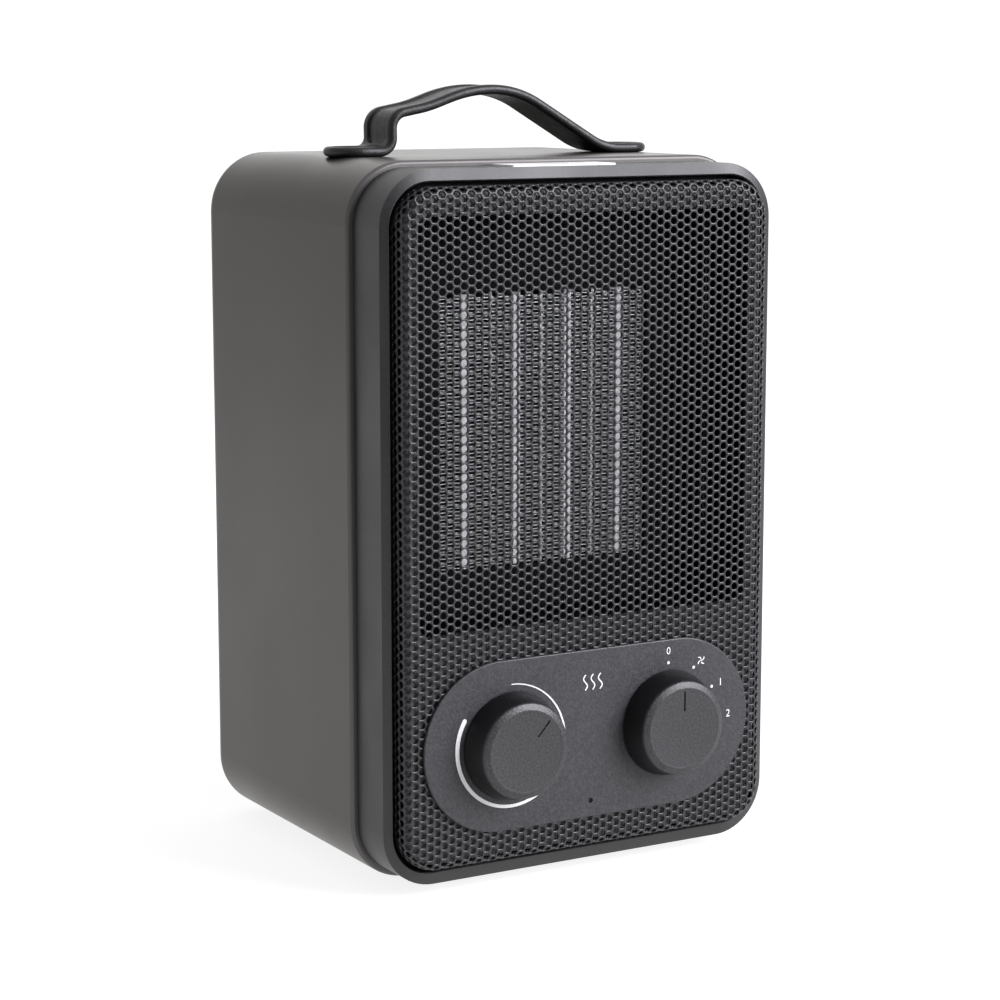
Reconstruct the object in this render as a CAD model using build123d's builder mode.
from build123d import *
import os
from math import cos, radians, sin

# Ceramic space heater with a perforated front, two knobs and a strap handle.
# Millimetres, +Z up, the front faces -Y, the origin is under the middle of the object.

# ---- Overall ---------------------------------------------------------------------------
total_depth = 149.0
front_y = -total_depth / 2          # faces of the knobs
back_y = total_depth / 2            # back of the housing
knob_height = 10.5
panel_y = front_y + knob_height     # face of the control panel
ring_y = panel_y + 6.1              # front of the ring around the grille
foot_height = 1.8

# ---- Shells ----------------------------------------------------------------------------
neck_width = 154.0
neck_height = 240.0
neck_radius = 19.0
neck_length = 19.8                  # the part in sight, from the ring to the housing
neck_wall = 2.4
step = 2.2                          # the housing is this much larger on each side
housing_wall = 2.5
fit_gap = 0.3
lip_radius = 1.3
back_radius = 6.0
ring_side = 3.25
ring_top = 4.2
ring_bottom = 4.7
ring_slope = 1.3
ring_land = 0.55                     # level strip next to the opening
ring_edge = 0.4                      # chamfer along the opening
spigot_length = 10.0

lip_y = ring_y + neck_length
neck_low_z = foot_height + step
neck_mid_z = neck_low_z + neck_height / 2
neck_top_z = neck_low_z + neck_height
housing_width = neck_width + 2 * step
housing_height = neck_height + 2 * step
housing_radius = neck_radius + step
housing_top_z = neck_top_z + step
inner_width = housing_width - 2 * housing_wall
inner_height = housing_height - 2 * housing_wall
floor_z = foot_height + housing_wall
opening_width = neck_width - 2 * ring_side
opening_height = neck_height - ring_top - ring_bottom
opening_mid_z = neck_mid_z + (ring_bottom - ring_top) / 2
opening_radius = neck_radius - 4.5

# ---- Grille and air guide --------------------------------------------------------------
grille_gap = 1.35
grille_sheet = 0.7
grille_bend = 3.0
grille_y = panel_y + 1.0
grille_back_y = ring_y + 3.0
grille_width = opening_width - 2 * grille_gap
grille_height = opening_height - 2 * grille_gap
grille_radius = opening_radius - grille_gap
outlet_hole = 2.3
outlet_pitch = 6.3
guide_y = grille_y + grille_sheet + 0.6
guide_wall = 1.6
guide_flange_y = ring_y + 3.6
guide_back_y = ring_y + 22.0
window_width = 131.0
window_low_z = neck_low_z + 86.2
window_high_z = neck_low_z + 224.9
window_height = window_high_z - window_low_z
window_mid_z = (window_high_z + window_low_z) / 2
window_radius = 4.0
duct_wall = 1.6

# ---- Controls --------------------------------------------------------------------------
panel_end_x = 35.8
panel_radius = 29.6
panel_z = neck_low_z + 46.4
knob_x = 31.7
knob_base_r = 18.7
knob_cap_r = 16.3
knob_clear = 0.4
knob_edge = 1.6
shaft_r = 3.0
shaft_clear = 0.05
lamp_z = neck_low_z + 22.7
lamp_r = 0.85
pointer_start_deg = 42.0            # where the thermostat pointer stands, clockwise from the top
control_y = guide_y + guide_wall + 2.0
bracket_screw_spots = [(x, panel_z + z) for x in (-48.0, 48.0) for z in (-14.0, 14.0)]

# ---- Heating core ----------------------------------------------------------------------
core_y = ring_y + 27.0
core_depth = 15.0
core_height = 95.0
core_z = neck_low_z + 149.0
module_pitch = 20.6
module_count = 4
bar_thick = 2.6
plate_thick = 0.6
fin_sheet = 0.24
fin_pitch = 1.24
core_width = module_pitch * module_count
holder_y = ring_y + 25.5
holder_wall = 2.0
holder_plate = 1.4

# ---- Fan -------------------------------------------------------------------------------
fan_radius = 53.0
fan_clear = 2.0
hub_radius = 17.0
fan_front_y = ring_y + 50.0
fan_depth = 18.0
blade_count = 7
shroud_front_y = core_y + core_depth + 1.0
shroud_back_y = fan_front_y + fan_depth + 5.0
motor_y = shroud_back_y + 3.5
motor_length = 30.0
motor_radius = 21.0
axle_r = 1.6

# ---- Strap handle ----------------------------------------------------------------------
strap_width = 21.0
strap_thick = 3.4
strap_end_x = 64.2
strap_y = ring_y + 64.0
strap_z = housing_top_z + strap_thick / 2
handle_screw_x = 54.8
strap_recess = 2.0
strap_room = 40.0                   # more than the strap rises above the housing

os.makedirs("parts", exist_ok=True)


def facing_front(y):
    """The plane at depth y, seen from the front: local x is X and local y is Z."""
    return Plane.XZ.offset(-y)


def save(piece, name):
    piece.part.label = name
    export_step(piece.part, f"parts/{name}.step")


# ---- Front frame: the neck and its ring ------------------------------------------------
with BuildPart() as front_frame:
    with BuildSketch(facing_front(ring_y)):
        with Locations((0, opening_mid_z)):
            RectangleRounded(
                opening_width + 2 * ring_land,
                opening_height + 2 * ring_land,
                opening_radius + ring_land,
            )
    with BuildSketch(facing_front(ring_y + ring_slope)):
        with Locations((0, neck_mid_z)):
            RectangleRounded(neck_width, neck_height, neck_radius)
    loft()
    with BuildSketch(facing_front(ring_y + ring_slope)):
        with Locations((0, neck_mid_z)):
            RectangleRounded(neck_width, neck_height, neck_radius)
    extrude(amount=ring_slope - neck_length)
    with BuildSketch(facing_front(lip_y)):
        with Locations((0, neck_mid_z)):
            RectangleRounded(
                inner_width - 2 * fit_gap,
                inner_height - 2 * fit_gap,
                housing_radius - housing_wall - fit_gap,
            )
    extrude(amount=-spigot_length)
    with BuildSketch(facing_front(ring_y)):
        with Locations((0, opening_mid_z)):
            RectangleRounded(opening_width, opening_height, opening_radius)
    extrude(amount=-(neck_length + spigot_length), mode=Mode.SUBTRACT)
    chamfer(front_frame.faces().sort_by(Axis.Y)[0].inner_wires()[0].edges(), length=ring_edge)
    with BuildSketch(facing_front(ring_y + 5.0)):
        with Locations((0, neck_mid_z)):
            RectangleRounded(
                neck_width - 2 * neck_wall,
                neck_height - 2 * neck_wall,
                neck_radius - neck_wall,
            )
    extrude(amount=-(neck_length + spigot_length - 5.0), mode=Mode.SUBTRACT)
save(front_frame, "front_frame")

# ---- Main housing: one deep tub with the back wall -------------------------------------
cover_width = 124.0
cover_height = 190.0
cover_radius = 12.0
cover_depth = 2.0
cover_ledge = 6.0
back_wall = 3.6
cover_screw_x = cover_width / 2 - 4.0
cover_screw_z = cover_height / 2 - 12.0
cover_screw_spots = [
    (x, neck_mid_z + z)
    for x in (-cover_screw_x, cover_screw_x)
    for z in (-cover_screw_z, cover_screw_z)
]
foot_x = 52.0
foot_front_y = lip_y + 14.0
foot_back_y = back_y - 18.0
foot_radius = 6.5
foot_peg_r = 2.3
gland_x = 40.0
gland_z = floor_z + 16.5
gland_body_r = 6.2
plunger_x = 0.0
plunger_y = 20.0
plunger_r = 3.5

with BuildPart() as main_housing:
    with BuildSketch(facing_front(lip_y)):
        with Locations((0, neck_mid_z)):
            RectangleRounded(housing_width, housing_height, housing_radius)
    extrude(amount=lip_y - back_y)
    fillet(main_housing.faces().sort_by(Axis.Y)[-1].edges(), radius=back_radius)
    fillet(main_housing.faces().sort_by(Axis.Y)[0].edges(), radius=lip_radius)
    with BuildSketch(facing_front(lip_y)):
        with Locations((0, neck_mid_z)):
            RectangleRounded(inner_width, inner_height, housing_radius - housing_wall)
    extrude(amount=lip_y - back_y + back_wall, mode=Mode.SUBTRACT)
    with BuildSketch(facing_front(back_y)):
        with Locations((0, neck_mid_z)):
            RectangleRounded(cover_width, cover_height, cover_radius)
    extrude(amount=cover_depth, mode=Mode.SUBTRACT)
    with BuildSketch(facing_front(back_y)):
        with Locations((0, neck_mid_z)):
            RectangleRounded(
                cover_width - 2 * cover_ledge - 4,
                cover_height - 2 * cover_ledge - 4,
                cover_radius - cover_ledge,
            )
    extrude(amount=back_wall + 1, mode=Mode.SUBTRACT)
    with BuildSketch(facing_front(back_y - back_wall)):
        with Locations(*cover_screw_spots):
            Circle(4.0)
    extrude(amount=8.0)
    with BuildSketch(facing_front(back_y - cover_depth)):
        with Locations(*cover_screw_spots):
            Circle(1.3)
    extrude(amount=back_wall + 5.0, mode=Mode.SUBTRACT)
    with BuildSketch(Plane.XY.offset(foot_height)):
        with Locations(*[(x, y) for x in (-foot_x, foot_x) for y in (foot_front_y, foot_back_y)]):
            Circle(foot_peg_r + 0.1)
    extrude(amount=housing_wall, mode=Mode.SUBTRACT)
    with BuildSketch(Plane.XY.offset(foot_height)):
        with Locations((plunger_x, plunger_y)):
            Circle(plunger_r + 0.4)
    extrude(amount=housing_wall, mode=Mode.SUBTRACT)
    with BuildSketch(facing_front(back_y)):
        with Locations((gland_x, gland_z)):
            Circle(gland_body_r)
    extrude(amount=back_wall, mode=Mode.SUBTRACT)
    with BuildSketch(Plane.XY.offset(housing_top_z)):
        with Locations((-handle_screw_x, strap_y), (handle_screw_x, strap_y)):
            Circle(2.2)
    extrude(amount=-housing_wall, mode=Mode.SUBTRACT)
save(main_housing, "main_housing")

# ---- Rear cover with the air intake ----------------------------------------------------
slot_count = 15
slot_pitch = 7.0
slot_high = 3.4
slot_length = 31.0
slot_gap_x = 35.0
intake_z = core_z

with BuildPart() as rear_cover:
    with BuildSketch(facing_front(back_y)):
        with Locations((0, neck_mid_z)):
            RectangleRounded(cover_width - 0.6, cover_height - 0.6, cover_radius - 0.3)
    extrude(amount=cover_depth)
    fillet(rear_cover.faces().sort_by(Axis.Y)[-1].edges(), radius=0.5)
    with BuildSketch(facing_front(back_y)):
        with Locations((0, intake_z - 4)):
            with GridLocations(slot_gap_x, slot_pitch, 3, slot_count):
                SlotOverall(slot_length, slot_high)
    extrude(amount=cover_depth, mode=Mode.SUBTRACT)
    with BuildSketch(facing_front(back_y)):
        with Locations(*cover_screw_spots):
            Circle(3.4)
    extrude(amount=1.0, mode=Mode.SUBTRACT)
    with BuildSketch(facing_front(back_y)):
        with Locations(*cover_screw_spots):
            Circle(1.8)
    extrude(amount=cover_depth, mode=Mode.SUBTRACT)
save(rear_cover, "rear_cover")

with BuildPart() as cover_screws:
    with BuildSketch(facing_front(back_y - 1.0)):
        with Locations(*cover_screw_spots):
            Circle(3.0)
    extrude(amount=-0.9)
    with BuildSketch(facing_front(back_y - 0.1)):
        with Locations(*cover_screw_spots):
            Rectangle(3.6, 0.7)
            Rectangle(0.7, 3.6)
    extrude(amount=0.5, mode=Mode.SUBTRACT)
    with BuildSketch(facing_front(back_y - 1.0)):
        with Locations(*cover_screw_spots):
            Circle(1.3)
    extrude(amount=6.0)
save(cover_screws, "rear_cover_screws")

# ---- Front grille: a shallow pressed pan -----------------------------------------------
panel_collar_r = panel_radius - 1.9
panel_slot_r = panel_collar_r + fit_gap

with BuildPart() as front_grille:
    with BuildSketch(facing_front(grille_y)):
        with Locations((0, opening_mid_z)):
            RectangleRounded(grille_width, grille_height, grille_radius)
    extrude(amount=grille_y - grille_back_y)
    fillet(front_grille.faces().sort_by(Axis.Y)[0].edges(), radius=grille_bend)
    offset(
        amount=-grille_sheet,
        openings=front_grille.faces().sort_by(Axis.Y)[-1],
        kind=Kind.INTERSECTION,
    )
    with BuildSketch(facing_front(grille_y)):
        with Locations((0, panel_z)):
            SlotOverall(2 * (panel_end_x + panel_slot_r), 2 * panel_slot_r)
    extrude(amount=-2 * grille_sheet, mode=Mode.SUBTRACT)
    with BuildSketch(facing_front(grille_y)):
        with Locations((0, window_mid_z)):
            with GridLocations(outlet_pitch, outlet_pitch, 20, 21):
                Circle(outlet_hole)
    extrude(amount=-2 * grille_sheet, mode=Mode.SUBTRACT)
save(front_grille, "front_grille")

# ---- Air guide: the plate behind the grille and its square duct ------------------------
guide_width = grille_width - 2 * grille_sheet - 2.0
guide_height = grille_height - 2 * grille_sheet - 2.0
guide_radius = grille_radius - grille_sheet - 1.0
flange_width = neck_width - 2 * neck_wall - 2 * fit_gap
flange_height = neck_height - 2 * neck_wall - 2 * fit_gap

with BuildPart() as air_guide:
    with BuildSketch(facing_front(guide_y)):
        with Locations((0, opening_mid_z)):
            RectangleRounded(guide_width, guide_height, guide_radius)
    extrude(amount=guide_y - guide_flange_y)
    fillet(air_guide.faces().sort_by(Axis.Y)[0].edges(), radius=2.4)
    offset(
        amount=-guide_wall,
        openings=air_guide.faces().sort_by(Axis.Y)[-1],
        kind=Kind.INTERSECTION,
    )
    with BuildSketch(facing_front(ring_y + 5.2)):
        with Locations((0, neck_mid_z)):
            RectangleRounded(flange_width, flange_height, neck_radius - neck_wall - fit_gap)
        with Locations((0, opening_mid_z)):
            RectangleRounded(
                guide_width - 2 * guide_wall,
                guide_height - 2 * guide_wall,
                guide_radius - guide_wall,
                mode=Mode.SUBTRACT,
            )
    extrude(amount=-guide_wall)
    with BuildSketch(facing_front(guide_flange_y)):
        with Locations((0, opening_mid_z)):
            RectangleRounded(guide_width, guide_height, guide_radius)
            RectangleRounded(
                guide_width - 2 * guide_wall,
                guide_height - 2 * guide_wall,
                guide_radius - guide_wall,
                mode=Mode.SUBTRACT,
            )
    extrude(amount=guide_flange_y - ring_y - 5.2)
    with BuildSketch(facing_front(guide_y + 0.5)):
        with Locations((0, window_mid_z)):
            RectangleRounded(
                window_width + 2 * duct_wall,
                window_height + 2 * duct_wall,
                window_radius + duct_wall,
            )
    extrude(amount=guide_y + 0.5 - guide_back_y)
    with BuildSketch(facing_front(guide_y)):
        with Locations((0, window_mid_z)):
            RectangleRounded(window_width, window_height, window_radius)
    extrude(amount=guide_y - guide_back_y, mode=Mode.SUBTRACT)
    with BuildSketch(facing_front(guide_y)):
        with Locations((-knob_x, panel_z), (knob_x, panel_z)):
            Circle(5.2)
        with Locations((0, lamp_z)):
            Circle(3.2)
    extrude(amount=-3.0, mode=Mode.SUBTRACT)
    with BuildSketch(facing_front(control_y)):
        with Locations(*bracket_screw_spots):
            Circle(3.2)
    extrude(amount=2.5)
    with BuildSketch(facing_front(control_y)):
        with Locations(*bracket_screw_spots):
            Circle(1.5)
    extrude(amount=2.9, mode=Mode.SUBTRACT)
save(air_guide, "air_guide")

# ---- Control panel ---------------------------------------------------------------------
with BuildPart() as control_panel:
    with BuildSketch(facing_front(panel_y)):
        with Locations((0, panel_z)):
            SlotOverall(2 * (panel_end_x + panel_radius), 2 * panel_radius)
    extrude(amount=panel_y - grille_y + 0.05)
    fillet(control_panel.faces().sort_by(Axis.Y)[0].edges(), radius=0.5)
    with BuildSketch(facing_front(grille_y - 0.05)):
        with Locations((0, panel_z)):
            SlotOverall(2 * (panel_end_x + panel_collar_r), 2 * panel_collar_r)
    extrude(amount=grille_y - guide_y - 0.05 + 0.1)
    with BuildSketch(facing_front(panel_y)):
        with Locations((-knob_x, panel_z), (knob_x, panel_z)):
            Circle(shaft_r + 0.8)
        with Locations((0, lamp_z)):
            Circle(lamp_r + 0.05)
    extrude(amount=panel_y - guide_y, mode=Mode.SUBTRACT)
save(control_panel, "control_panel")

with BuildPart() as indicator_lens:
    with BuildSketch(facing_front(panel_y + 0.3)):
        with Locations((0, lamp_z)):
            Circle(lamp_r)
    extrude(amount=panel_y + 0.3 - guide_y)
    with BuildSketch(facing_front(guide_y)):
        with Locations((0, lamp_z)):
            Circle(2.6)
    extrude(amount=-3.0)
save(indicator_lens, "indicator_lens")


# ---- Knobs with their shafts -----------------------------------------------------------
socket_r = 5.0
socket_depth = 7.5
boss_length = 6.5


def make_knob(x, pointer_deg, name):
    """A tapered knob on the panel, its pointer groove turned clockwise from the top."""
    base_y = panel_y - knob_clear
    taper_height = knob_height - knob_clear
    with BuildPart() as knob:
        with BuildSketch(facing_front(base_y)):
            with Locations((x, panel_z)):
                Circle(knob_base_r)
        with BuildSketch(facing_front(base_y - taper_height)):
            with Locations((x, panel_z)):
                Circle(knob_cap_r)
        loft()
        fillet(knob.faces().sort_by(Axis.Y)[0].edges(), radius=knob_edge)
        with BuildSketch(facing_front(base_y)):
            with Locations((x, panel_z)):
                Circle(knob_cap_r - 1.8)
                Circle(socket_r, mode=Mode.SUBTRACT)
        extrude(amount=socket_depth - 1.0, mode=Mode.SUBTRACT)
        with BuildSketch(facing_front(base_y)):
            with Locations((x, panel_z)):
                Circle(shaft_r)
        extrude(amount=boss_length, mode=Mode.SUBTRACT)
        angle = radians(pointer_deg)
        groove_x = x + 9.7 * sin(angle)
        groove_z = panel_z + 9.7 * cos(angle)
        with BuildSketch(facing_front(front_y)):
            with Locations((groove_x, groove_z)):
                SlotOverall(7.4, 0.7, rotation=90 - pointer_deg)
        extrude(amount=-0.5, mode=Mode.SUBTRACT)
    save(knob, name)


make_knob(-knob_x, pointer_start_deg, "thermostat_knob")
make_knob(knob_x, 0.0, "mode_knob")

control_depth = 22.0
shaft_in = 14.0
shaft_tip_y = panel_y - knob_clear - boss_length


def make_shaft(x, name):
    with BuildPart() as shaft:
        with BuildSketch(facing_front(shaft_tip_y + 0.3)):
            with Locations((x, panel_z)):
                Circle(shaft_r)
        extrude(amount=shaft_tip_y + 0.3 - control_y - shaft_in)
        chamfer(shaft.faces().sort_by(Axis.Y)[0].edges(), length=0.5)
    save(shaft, name)


make_shaft(-knob_x, "thermostat_shaft")
make_shaft(knob_x, "mode_switch_shaft")

# ---- Thermostat, mode switch and the bracket that holds them ---------------------------
bracket_y = control_y
bracket_sheet = 1.2

with BuildPart() as control_bracket:
    with BuildSketch(facing_front(bracket_y)):
        with Locations((0, panel_z)):
            RectangleRounded(104.0, 40.0, 4.0)
        with Locations((-knob_x, panel_z), (knob_x, panel_z)):
            Circle(5.0, mode=Mode.SUBTRACT)
        with Locations(*bracket_screw_spots):
            Circle(1.7, mode=Mode.SUBTRACT)
    extrude(amount=-bracket_sheet)
save(control_bracket, "control_bracket")

with BuildPart() as bracket_screws:
    with BuildSketch(facing_front(bracket_y + bracket_sheet)):
        with Locations(*bracket_screw_spots):
            Circle(3.0)
    extrude(amount=-2.0)
    with BuildSketch(facing_front(bracket_y + bracket_sheet)):
        with Locations(*bracket_screw_spots):
            Circle(1.5)
    extrude(amount=bracket_sheet + 2.8)
save(bracket_screws, "bracket_screws")


def make_control(x, width, height, tabs, name):
    """A boxed rotary control behind the bracket, with solder tabs at its back."""
    body_y = bracket_y + bracket_sheet
    with BuildPart() as control:
        with BuildSketch(facing_front(body_y)):
            with Locations((x, panel_z)):
                RectangleRounded(width, height, 2.0)
        extrude(amount=-control_depth)
        with BuildSketch(facing_front(body_y + control_depth)):
            with Locations((x, panel_z)):
                with GridLocations(width / tabs, 14.0, tabs, 2):
                    Rectangle(4.8, 0.8)
        extrude(amount=-8.0)
        with BuildSketch(facing_front(body_y)):
            with Locations((x, panel_z)):
                Circle(shaft_r + shaft_clear)
        extrude(amount=-(shaft_in + 1.0), mode=Mode.SUBTRACT)
    save(control, name)


make_control(-knob_x, 27.0, 27.0, 2, "thermostat")
make_control(knob_x, 30.0, 24.0, 3, "mode_switch")

with BuildPart() as lamp_board:
    with BuildSketch(facing_front(guide_y + 4.2)):
        with Locations((0, lamp_z)):
            Rectangle(14.0, 7.0)
    extrude(amount=-1.2)
    with BuildSketch(facing_front(guide_y + 4.2)):
        with Locations((0, lamp_z)):
            Circle(2.0)
    extrude(amount=1.0)
save(lamp_board, "lamp_board")

# ---- Heating core ----------------------------------------------------------------------
core_low_z = core_z - core_height / 2
core_left_x = -core_width / 2
module_xs = [core_left_x + module_pitch * (n + 0.5) for n in range(module_count)]
plate_xs = [core_left_x + module_pitch * n for n in range(module_count + 1)]
fin_width = (module_pitch - bar_thick - plate_thick) / 2 - 0.1
fin_offset = bar_thick / 2 + 0.05 + fin_width / 2

with BuildPart() as ptc_bars:
    with BuildSketch(facing_front(core_y)):
        with Locations(*[(x, core_z) for x in module_xs]):
            Rectangle(bar_thick, core_height)
    extrude(amount=-core_depth)
save(ptc_bars, "ceramic_bars")

with BuildPart() as core_plates:
    with BuildSketch(facing_front(core_y + 0.4)):
        with Locations(*[(x, core_z) for x in plate_xs]):
            Rectangle(plate_thick, core_height)
    extrude(amount=0.4 - core_depth + 0.4)
save(core_plates, "core_separators")


def fin_outline(x):
    """Outline of one folded fin strip: a square wave of thin sheet that climbs the core."""
    half = (fin_width - fin_sheet) / 2
    edge = fin_sheet / 2
    rows = 2 * int((core_height - 0.6) / fin_pitch / 2)
    low_z = core_z - rows * fin_pitch / 2
    left = [(x - half, low_z + edge)]
    right = [(x - half, low_z - edge)]
    for k in range(2 * rows):
        corner_x = x + (half if k % 4 in (0, 1) else -half)
        corner_z = low_z + (k + 1) // 2 * fin_pitch
        lift = edge if k % 4 in (0, 3) else -edge
        left.append((corner_x - edge, corner_z + lift))
        right.append((corner_x + edge, corner_z - lift))
    top_z = low_z + rows * fin_pitch
    left.append((x + half, top_z + edge))
    right.append((x + half, top_z - edge))
    return left + right[::-1]


fin_xs = [x + side * fin_offset for x in module_xs for side in (-1, 1)]

with BuildPart() as core_fins:
    for strip_x in fin_xs:
        with BuildSketch(facing_front(core_y + 0.3)):
            with BuildLine():
                Polyline(*fin_outline(strip_x), close=True)
            make_face()
        extrude(amount=0.6 - core_depth)
save(core_fins, "heat_fins")

tab_height = 12.0

with BuildPart() as core_tabs:
    with BuildSketch(facing_front(core_y + 4.0)):
        with Locations(*[(x, core_z + core_height / 2 + tab_height / 2) for x in module_xs]):
            Rectangle(1.0, tab_height)
    extrude(amount=-6.3)
save(core_tabs, "core_terminals")

holder_width = core_width + plate_thick + 2 * holder_wall + 0.6
holder_height = core_height + 2 * holder_wall + 0.6
holder_outer_w = window_width + 2 * duct_wall
holder_outer_h = window_height + 2 * duct_wall

with BuildPart() as core_holder:
    with BuildSketch(facing_front(holder_y)):
        with Locations((0, window_mid_z)):
            RectangleRounded(holder_outer_w, holder_outer_h, window_radius)
        with Locations((0, core_z)):
            Rectangle(core_width + plate_thick + 0.6, core_height + 0.6, mode=Mode.SUBTRACT)
    extrude(amount=-holder_plate)
    with BuildSketch(facing_front(holder_y)):
        with Locations((0, core_z)):
            Rectangle(holder_width, holder_height)
            Rectangle(core_width + plate_thick + 0.6, core_height + 0.6, mode=Mode.SUBTRACT)
    extrude(amount=holder_y - core_y - core_depth)
    with BuildSketch(facing_front(core_y + 3.6)):
        with Locations(*[(x, core_z + core_height / 2 + 1.3) for x in module_xs]):
            Rectangle(1.6, 3.4)
    extrude(amount=-7.2, mode=Mode.SUBTRACT)
save(core_holder, "core_holder")

# ---- Safety parts on the core ----------------------------------------------------------
cutout_x = (module_xs[0] + module_xs[1]) / 2
cutout_z = core_z + core_height / 2 + 18.0
cutout_length = 7.0
fuse_y = core_y + 6.0
fuse_z = core_z + core_height / 2 + 9.0
fuse_low_x = module_xs[2] + 0.55
fuse_high_x = module_xs[3] - 0.55

with BuildPart() as thermal_cutout:
    with BuildSketch(facing_front(holder_y + holder_plate)):
        with Locations((cutout_x, cutout_z)):
            Circle(8.0)
    extrude(amount=-cutout_length)
    with BuildSketch(facing_front(holder_y + holder_plate + cutout_length)):
        with Locations((cutout_x - 4.0, cutout_z), (cutout_x + 4.0, cutout_z)):
            Rectangle(0.8, 4.8)
    extrude(amount=-6.0)
save(thermal_cutout, "thermal_cutout")

with BuildPart() as thermal_fuse:
    with BuildSketch(Plane.YZ.offset(fuse_low_x + 4.0)):
        with Locations((fuse_y, fuse_z)):
            Circle(2.0)
    extrude(amount=fuse_high_x - fuse_low_x - 8.0)
    with BuildSketch(Plane.YZ.offset(fuse_low_x)):
        with Locations((fuse_y, fuse_z)):
            Circle(0.5)
    extrude(amount=fuse_high_x - fuse_low_x)
save(thermal_fuse, "thermal_fuse")

# ---- Fan -------------------------------------------------------------------------------
shroud_r = fan_radius + fan_clear
arm_count = 4

with BuildPart() as fan_shroud:
    with BuildSketch(facing_front(holder_y + 1.5)):
        with Locations((0, window_mid_z)):
            RectangleRounded(holder_outer_w, holder_outer_h, window_radius)
            RectangleRounded(window_width, window_height, window_radius - 1.0, mode=Mode.SUBTRACT)
    extrude(amount=holder_y + 1.5 - shroud_front_y - 3.0)
    with BuildSketch(facing_front(shroud_front_y + 3.0)):
        with Locations((0, window_mid_z)):
            RectangleRounded(holder_outer_w, holder_outer_h, window_radius)
        with Locations((0, core_z)):
            Circle(shroud_r, mode=Mode.SUBTRACT)
    extrude(amount=-1.6)
    with BuildSketch(facing_front(shroud_front_y + 3.0)):
        with Locations((0, core_z)):
            Circle(shroud_r + 1.6)
            Circle(shroud_r, mode=Mode.SUBTRACT)
    extrude(amount=shroud_front_y + 3.0 - shroud_back_y)
    with BuildSketch(facing_front(shroud_back_y)):
        with Locations((0, core_z)):
            Circle(shroud_r + 6.0)
            Circle(shroud_r, mode=Mode.SUBTRACT)
            with PolarLocations(shroud_r + 3.4, arm_count, start_angle=45):
                Circle(1.5, mode=Mode.SUBTRACT)
    extrude(amount=1.6)
save(fan_shroud, "fan_shroud")

blade_lean_deg = 38.0
blade_thick = 1.6
blade_tip_deg = blade_lean_deg + 24

with BuildPart() as impeller:
    with BuildSketch(facing_front(fan_front_y)):
        with Locations((0, core_z)):
            Circle(hub_radius)
    extrude(amount=-fan_depth)
    fillet(impeller.faces().sort_by(Axis.Y)[0].edges(), radius=4.0)
    for n in range(blade_count):
        hub_centre = Location((0, fan_front_y + fan_depth / 2, core_z), (0, 360 / blade_count * n, 0))
        blade_root = hub_centre * Location((hub_radius - 1.5, 0, 0), (blade_lean_deg, 0, 0))
        with BuildSketch(Plane(blade_root) * Plane.YZ):
            Rectangle(blade_thick, fan_depth * 1.1)
        blade_tip = hub_centre * Location((fan_radius - 1.5, 0, 0), (blade_tip_deg, 0, 0))
        with BuildSketch(Plane(blade_tip) * Plane.YZ):
            Rectangle(blade_thick, fan_depth * 1.5)
        loft()
    with BuildSketch(facing_front(fan_front_y - 5)):
        with Locations((0, core_z)):
            Circle(fan_radius)
    extrude(amount=-(fan_depth + 10), mode=Mode.INTERSECT)
    with BuildSketch(facing_front(fan_front_y + 2.0)):
        with Locations((0, core_z)):
            Circle(hub_radius - 2.0)
            Circle(4.0, mode=Mode.SUBTRACT)
    extrude(amount=-fan_depth, mode=Mode.SUBTRACT)
    with BuildSketch(facing_front(fan_front_y + 3.0)):
        with Locations((0, core_z)):
            Circle(axle_r)
    extrude(amount=-fan_depth, mode=Mode.SUBTRACT)
save(impeller, "impeller")

with BuildPart() as motor_shaft:
    with BuildSketch(facing_front(fan_front_y + 3.5)):
        with Locations((0, core_z)):
            Circle(axle_r)
    extrude(amount=fan_front_y + 3.5 - motor_y - 8.0)
save(motor_shaft, "motor_shaft")

with BuildPart() as fan_motor:
    with BuildSketch(facing_front(motor_y)):
        with Locations((0, core_z)):
            Circle(motor_radius)
    extrude(amount=-motor_length)
    fillet(fan_motor.faces().sort_by(Axis.Y)[-1].edges(), radius=3.0)
    with BuildSketch(facing_front(motor_y)):
        with Locations((0, core_z)):
            Circle(6.0)
    extrude(amount=3.0)
    with BuildSketch(facing_front(motor_y - 3.0)):
        with Locations((0, core_z)):
            Circle(axle_r + shaft_clear)
    extrude(amount=-12.0, mode=Mode.SUBTRACT)
save(fan_motor, "fan_motor")

with BuildPart() as motor_bracket:
    with BuildSketch(facing_front(shroud_back_y)):
        with Locations((0, core_z)):
            Circle(motor_radius + 2.0)
            with PolarLocations(0, arm_count, start_angle=45):
                with Locations((shroud_r / 2 + 2.0, 0)):
                    Rectangle(shroud_r + 3.0, 9.0)
            Circle(7.5, mode=Mode.SUBTRACT)
            with PolarLocations(motor_radius - 6.0, arm_count, start_angle=0):
                Circle(1.7, mode=Mode.SUBTRACT)
            with PolarLocations(shroud_r + 3.4, arm_count, start_angle=45):
                Circle(1.7, mode=Mode.SUBTRACT)
    extrude(amount=-1.5)
    with BuildSketch(facing_front(shroud_back_y + 1.5)):
        with Locations((0, core_z)):
            Circle(motor_radius + 2.0)
            Circle(motor_radius + 0.3, mode=Mode.SUBTRACT)
    extrude(amount=-10.0)
save(motor_bracket, "motor_bracket")

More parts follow.
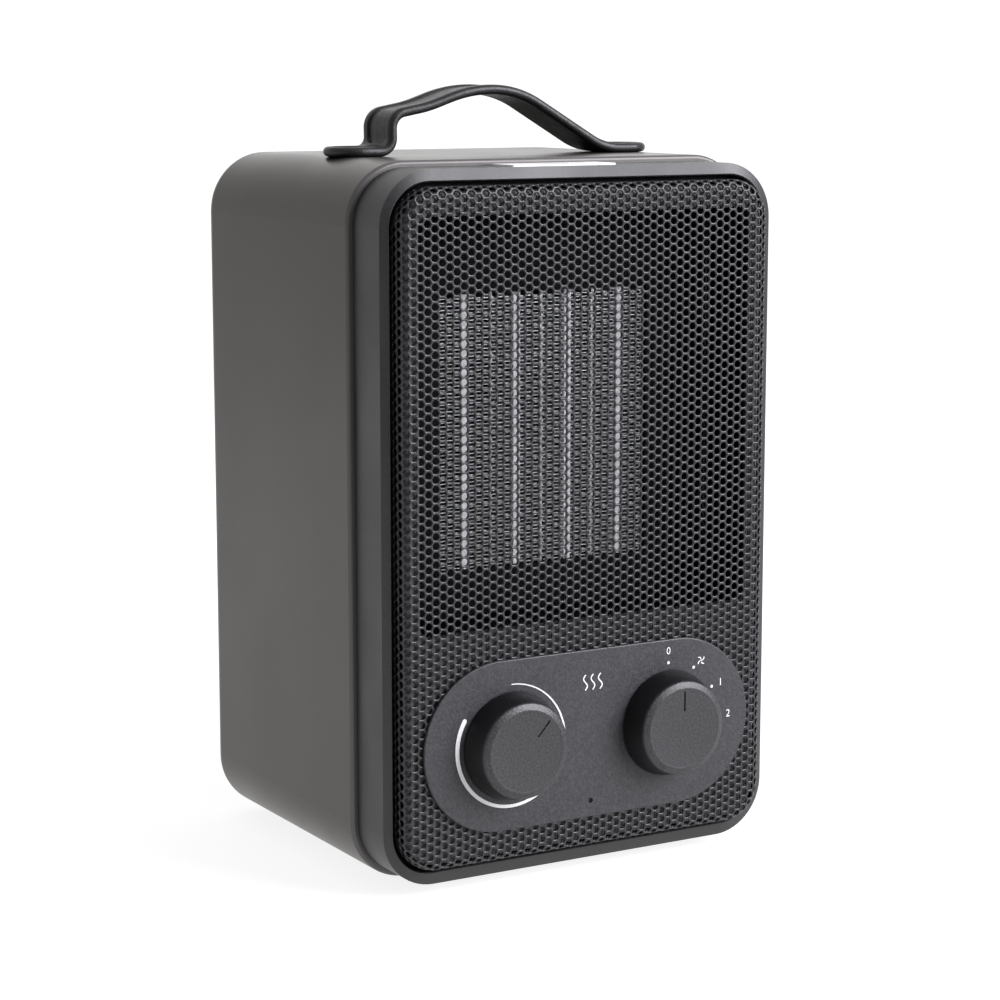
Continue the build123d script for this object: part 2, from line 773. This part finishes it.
with BuildPart() as motor_screws:
    with BuildSketch(facing_front(shroud_back_y + 1.5)):
        with Locations((0, core_z)):
            with PolarLocations(shroud_r + 3.4, arm_count, start_angle=45):
                Circle(2.6)
    extrude(amount=-1.8)
    with BuildSketch(facing_front(shroud_back_y + 1.5)):
        with Locations((0, core_z)):
            with PolarLocations(shroud_r + 3.4, arm_count, start_angle=45):
                Circle(1.5)
    extrude(amount=6.0)
save(motor_screws, "motor_bracket_screws")

# ---- Mains side: terminal block, gland and tip-over switch -----------------------------
block_x = 40.0
block_y = 34.0

with BuildPart() as terminal_block:
    with BuildSketch(Plane.XY.offset(floor_z)):
        with Locations((block_x, block_y)):
            Rectangle(36.0, 20.0)
    extrude(amount=12.0)
    with BuildSketch(Plane.XY.offset(floor_z + 12.0)):
        with Locations((block_x, block_y)):
            with GridLocations(11.0, 10.0, 3, 2):
                Circle(2.4)
    extrude(amount=-5.0, mode=Mode.SUBTRACT)
save(terminal_block, "terminal_block")

wire_r = 1.1
wire_pitch = 11.0
wire_start_y = block_y - 10.0
wire_end_y = control_y + bracket_sheet + control_depth + 8.0
wire_low_z = floor_z + 6.0
wire_high_z = panel_z - 7.0

with BuildPart() as supply_wires:
    for n in (-1, 0, 1):
        low_x = block_x + n * wire_pitch
        high_x = knob_x + n * 10.0
        with BuildLine() as wire_path:
            FilletPolyline(
                (low_x, wire_start_y, wire_low_z),
                (low_x, wire_start_y - 14.0, wire_low_z),
                (high_x, wire_end_y + 14.0, wire_high_z),
                (high_x, wire_end_y, wire_high_z),
                radius=8.0,
            )
        with BuildSketch(Plane(origin=wire_path.line @ 0, z_dir=wire_path.line % 0)):
            Circle(wire_r)
        sweep()
save(supply_wires, "supply_wires")

gland_bore_r = 3.7
gland_length = 14.0

with BuildPart() as cord_gland:
    with BuildSketch(facing_front(back_y - back_wall)):
        with Locations((gland_x, gland_z)):
            Circle(gland_body_r + 2.0)
    extrude(amount=gland_length - back_wall)
    with BuildSketch(facing_front(back_y)):
        with Locations((gland_x, gland_z)):
            Circle(gland_body_r - 0.1)
    extrude(amount=back_wall + 1.0)
    fillet(cord_gland.faces().sort_by(Axis.Y)[-1].edges(), radius=0.6)
    with BuildSketch(facing_front(back_y)):
        with Locations((gland_x, gland_z)):
            Circle(gland_bore_r)
    extrude(amount=gland_length, mode=Mode.SUBTRACT)
save(cord_gland, "cord_gland")

switch_floor_z = floor_z + 9.0

with BuildPart() as tip_switch:
    with BuildSketch(Plane.XY.offset(floor_z)):
        with Locations((plunger_x, plunger_y)):
            Rectangle(26.0, 18.0)
            Circle(plunger_r + 2.4, mode=Mode.SUBTRACT)
    extrude(amount=switch_floor_z - floor_z)
    with BuildSketch(Plane.XY.offset(switch_floor_z)):
        with Locations((plunger_x, plunger_y)):
            Rectangle(26.0, 18.0)
    extrude(amount=6.0)
save(tip_switch, "tip_switch")

with BuildPart() as tip_plunger:
    with BuildSketch(Plane.XY.offset(0.3)):
        with Locations((plunger_x, plunger_y)):
            Circle(plunger_r)
    extrude(amount=switch_floor_z - 0.6)
    fillet(tip_plunger.faces().sort_by(Axis.Z)[0].edges(), radius=1.2)
    with BuildSketch(Plane.XY.offset(switch_floor_z - 2.3)):
        with Locations((plunger_x, plunger_y)):
            Circle(plunger_r + 1.4)
    extrude(amount=2.0)
save(tip_plunger, "tip_plunger")


# ---- Feet ------------------------------------------------------------------------------
def make_foot(x, y, name):
    with BuildPart() as foot:
        with BuildSketch(Plane.XY):
            with Locations((x, y)):
                Circle(foot_radius)
        extrude(amount=foot_height)
        fillet(foot.faces().sort_by(Axis.Z)[0].edges(), radius=0.6)
        with BuildSketch(Plane.XY.offset(foot_height)):
            with Locations((x, y)):
                Circle(foot_peg_r)
        extrude(amount=4.0)
    save(foot, name)


for side, foot_place_x in (("left", -foot_x), ("right", foot_x)):
    for end, foot_place_y in (("front", foot_front_y), ("back", foot_back_y)):
        make_foot(foot_place_x, foot_place_y, f"foot_{end}_{side}")

# ---- Strap handle ----------------------------------------------------------------------
curl_start_x = -47.9
curl_radius = 4.6
curl_deg = 91.0
riser_length = 3.13
shoulder_radius = 5.6
shelf_deg = 10.5
shelf_length = 6.2
swell_radius = 50.0
rise_deg = 19.0
rise_length = 5.2
crown_rise_radius = 52.0
crown_fall_radius = 38.0
fall_deg = 30.0
landing_radius = 24.5
landing_drop = landing_radius * (1 - cos(radians(fall_deg)))
strap_edge = strap_thick / 2
strap_head_low_z = strap_z + strap_edge - strap_recess

with BuildPart() as handle_strap:
    with BuildSketch(facing_front(strap_y - strap_width / 2)):
        with BuildLine():
            pad_in = Line((-strap_end_x, strap_z), (curl_start_x, strap_z))
            curl = JernArc(pad_in @ 1, pad_in % 1, curl_radius, curl_deg)
            riser = PolarLine(curl @ 1, riser_length, direction=curl % 1)
            shoulder = JernArc(riser @ 1, riser % 1, shoulder_radius, shelf_deg - curl_deg)
            shelf = PolarLine(shoulder @ 1, shelf_length, direction=shoulder % 1)
            swell = JernArc(shelf @ 1, shelf % 1, swell_radius, rise_deg - shelf_deg)
            rise = PolarLine(swell @ 1, rise_length, direction=swell % 1)
            crown = JernArc(rise @ 1, rise % 1, crown_rise_radius, -rise_deg)
            over = JernArc(crown @ 1, crown % 1, crown_fall_radius, -fall_deg)
            fall_length = ((over @ 1).Y - strap_z - landing_drop) / sin(radians(fall_deg))
            fall = PolarLine(over @ 1, fall_length, direction=over % 1)
            landing = JernArc(fall @ 1, fall % 1, landing_radius, fall_deg)
            Line(landing @ 1, (strap_end_x, strap_z))
            offset(amount=strap_edge)
        make_face()
    extrude(amount=-strap_width)
    with BuildSketch(Plane.XY.offset(housing_top_z)):
        with Locations((0, strap_y)):
            SlotOverall(2 * strap_end_x, strap_width)
    extrude(amount=strap_room, mode=Mode.INTERSECT)
    with BuildSketch(Plane.XY.offset(strap_z + strap_edge)):
        with Locations((-handle_screw_x, strap_y), (handle_screw_x, strap_y)):
            Circle(4.4)
    extrude(amount=-strap_recess, mode=Mode.SUBTRACT)
    with BuildSketch(Plane.XY.offset(strap_z)):
        with Locations((-handle_screw_x, strap_y), (handle_screw_x, strap_y)):
            Circle(2.2)
    extrude(amount=-strap_thick, mode=Mode.SUBTRACT)
save(handle_strap, "handle_strap")

screw_head_high = 1.5

with BuildPart() as handle_screws:
    with BuildSketch(Plane.XY.offset(strap_head_low_z)):
        with Locations((-handle_screw_x, strap_y), (handle_screw_x, strap_y)):
            Circle(3.9)
    extrude(amount=screw_head_high)
    fillet(handle_screws.faces().sort_by(Axis.Z)[-2:].edges(), radius=0.7)
    with BuildSketch(Plane.XY.offset(strap_head_low_z + screw_head_high)):
        with Locations((-handle_screw_x, strap_y), (handle_screw_x, strap_y)):
            Rectangle(4.4, 0.8)
            Rectangle(0.8, 4.4)
    extrude(amount=-0.8, mode=Mode.SUBTRACT)
    with BuildSketch(Plane.XY.offset(strap_head_low_z)):
        with Locations((-handle_screw_x, strap_y), (handle_screw_x, strap_y)):
            Circle(2.0)
    extrude(amount=-9.5)
save(handle_screws, "handle_screws")

nut_z = housing_top_z - housing_wall

with BuildPart() as handle_nuts:
    with BuildSketch(Plane.XY.offset(nut_z)):
        with Locations((-handle_screw_x, strap_y), (handle_screw_x, strap_y)):
            RegularPolygon(4.0, 6)
            Circle(2.0, mode=Mode.SUBTRACT)
    extrude(amount=-3.2)
save(handle_nuts, "handle_nuts")

# ---- Blank label on top of the neck ----------------------------------------------------
with BuildPart() as top_label:
    with BuildSketch(Plane.XY.offset(neck_top_z)):
        with Locations((-5.5, ring_y + 10.5)):
            RectangleRounded(41.0, 14.0, 1.0)
    extrude(amount=0.6)
save(top_label, "top_label")
